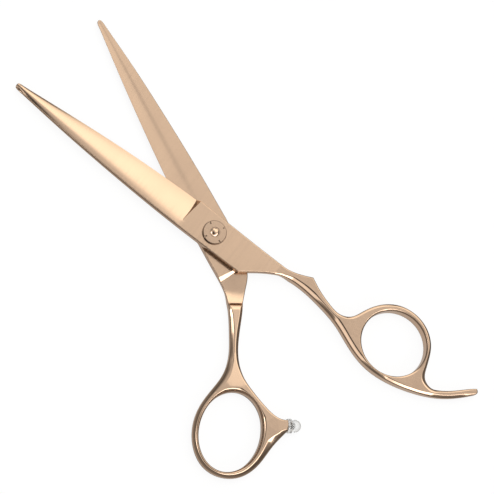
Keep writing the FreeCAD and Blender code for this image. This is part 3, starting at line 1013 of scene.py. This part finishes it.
def make_floor():
    """A pale floor that looks white, and is dim in the metal's reflections of it."""
    data = bpy.data.meshes.new("floor")
    corners = [(-1, -1), (1, -1), (1, 1), (-1, 1)]
    data.from_pydata([(x * FLOOR_REACH, y * FLOOR_REACH, 0) for x, y in corners], [],
                     [(0, 1, 2, 3)])
    floor = new_object("floor", data)
    floor.location.z = -FLOOR_GAP
    material = bpy.data.materials.new("pale_floor")
    material.use_nodes = True
    tree = material.node_tree
    tree.nodes.clear()
    link = tree.links.new
    path = add(tree, "LightPath")
    white = add(tree, "Emission")
    white.inputs["Color"].default_value = (1.0, 1.0, 1.0, 1)
    white.inputs["Strength"].default_value = 0.90
    steep = add(tree, "LayerWeight")
    steep.inputs["Blend"].default_value = 0.5
    dim = add(tree, "Emission")
    link(ramp(tree, steep.outputs["Facing"], FLOOR_FADE, (1, 0.95, 0.9)), dim.inputs["Color"])
    matt = add(tree, "BsdfDiffuse")
    matt.inputs["Color"].default_value = (0.10, 0.10, 0.10, 1)
    pick = add(tree, "MixShader")
    both = add(tree, "AddShader")
    out = add(tree, "OutputMaterial")
    seen = add(tree, "Math", operation="MAXIMUM")
    link(path.outputs["Is Camera Ray"], seen.inputs[0])
    link(path.outputs["Is Transmission Ray"], seen.inputs[1])
    link(seen.outputs["Value"], pick.inputs["Fac"])
    link(dim.outputs[0], pick.inputs[1])
    link(white.outputs[0], pick.inputs[2])
    link(pick.outputs[0], both.inputs[0])
    link(matt.outputs[0], both.inputs[1])
    link(both.outputs[0], out.inputs["Surface"])
    data.materials.append(material)


# Levels are (height of the direction, brightness). Patches are (heading, lean, outer angle where
# they end, inner angle where they are full), in degrees.
CEILING = [(0.0, 0.09), (0.22, 0.12), (0.42, 0.28), (0.55, 0.47), (0.72, 0.56), (0.9, 0.59),
           (1.0, 0.62)]
WARM_PANELS = [(-95, 48, 31, 19), (-95, 66, 28, 10), (-58, 60, 28, 8)]
WARM_LEVEL = 0.95
LENS_PATCH = (81.8, 20, 29, 9)
LENS_SHADE = 0.9
SIDE_PATCH = (8, 26, 17, 7)
SIDE_SHADE = 0.8
ARC_BAND = [(0.50, 0.0), (0.53, 1.0), (0.70, 1.0), (0.725, 0.0)]
ARC_REACH = (112, 50, 76, 62)
ARC_GAP = (81.8, 50, 34, 20)
ARC_GAP_SHADE = 0.8
ARC_LEVEL = 2.6


def make_sky():
    """Studio air: white to look at. The metal sees an even ceiling, a broad warm panel over the
    far side, a narrow white arc over the near side, and dark near the horizon."""
    world = bpy.data.worlds.new("studio")
    bpy.context.scene.world = world
    world.use_nodes = True
    tree = world.node_tree
    tree.nodes.clear()
    link = tree.links.new
    place = add(tree, "TexCoord")
    split = add(tree, "SeparateXYZ")
    link(place.outputs["Generated"], split.inputs["Vector"])

    def panel(heading, lean, outer, inner):
        """A soft round patch: nothing past the outer angle from its middle, full at the inner."""
        dot = add(tree, "VectorMath", operation="DOT_PRODUCT")
        dot.inputs[1].default_value = direction(heading, lean)
        fade = add(tree, "MapRange", interpolation_type="SMOOTHSTEP")
        fade.inputs["From Min"].default_value = math.cos(math.radians(outer))
        fade.inputs["From Max"].default_value = math.cos(math.radians(inner))
        link(place.outputs["Generated"], dot.inputs[0])
        link(dot.outputs["Value"], fade.inputs["Value"])
        return fade.outputs["Result"]

    def both(first, second, operation):
        """Two values, each a number or a socket, put together by a maths node."""
        node = add(tree, "Math", operation=operation)
        for k, source in enumerate((first, second)):
            if isinstance(source, float):
                node.inputs[k].default_value = source
            else:
                link(source, node.inputs[k])
        return node.outputs["Value"]

    def all_but(source, share):
        """What is left of 1 after a share of a mask is taken away."""
        return both(1.0, both(source, share, "MULTIPLY"), "SUBTRACT")

    ceiling = ramp(tree, split.outputs["Z"], CEILING)
    warm = None
    for spot in WARM_PANELS:
        one = panel(*spot)
        warm = one if warm is None else both(warm, one, "MAXIMUM")
    arc = both(ramp(tree, split.outputs["Z"], ARC_BAND), panel(*ARC_REACH), "MULTIPLY")
    arc = both(arc, all_but(panel(*ARC_GAP), ARC_GAP_SHADE), "MULTIPLY")
    shade = both(all_but(panel(*LENS_PATCH), LENS_SHADE),
                 all_but(panel(*SIDE_PATCH), SIDE_SHADE), "MULTIPLY")
    light = both(both(both(warm, WARM_LEVEL, "MULTIPLY"), ceiling, "ADD"), shade, "MULTIPLY")
    tint = add(tree, "Mix", data_type="RGBA")
    tint.inputs["A"].default_value = (1.0, 0.985, 0.965, 1)
    tint.inputs["B"].default_value = (1.0, 0.965, 0.88, 1)
    link(warm, tint.inputs["Factor"])
    mirrored = add(tree, "Background")
    link(tint.outputs["Result"], mirrored.inputs["Color"])
    link(both(light, both(arc, ARC_LEVEL, "MULTIPLY"), "ADD"), mirrored.inputs["Strength"])
    path = add(tree, "LightPath")
    seen = add(tree, "Background")
    seen.inputs["Color"].default_value = (1, 1, 1, 1)
    pick = add(tree, "MixShader")
    out = add(tree, "OutputWorld")
    link(path.outputs["Is Camera Ray"], pick.inputs["Fac"])
    link(mirrored.outputs[0], pick.inputs[1])
    link(seen.outputs[0], pick.inputs[2])
    link(pick.outputs[0], out.inputs["Surface"])


def overhead_light():
    """A large soft light that leaves faint shadows under the shears."""
    data = bpy.data.lights.new("overhead", "AREA")
    data.shape = "DISK"
    data.size = 0.8
    data.energy = 6.0
    light = new_object("overhead", data)
    light.location = (0.1, -0.2, 1.2)
    light.visible_glossy = False
    light.visible_camera = False


aim_camera()
make_floor()
make_sky()
overhead_light()
bpy.context.scene.view_settings.view_transform = "Standard"
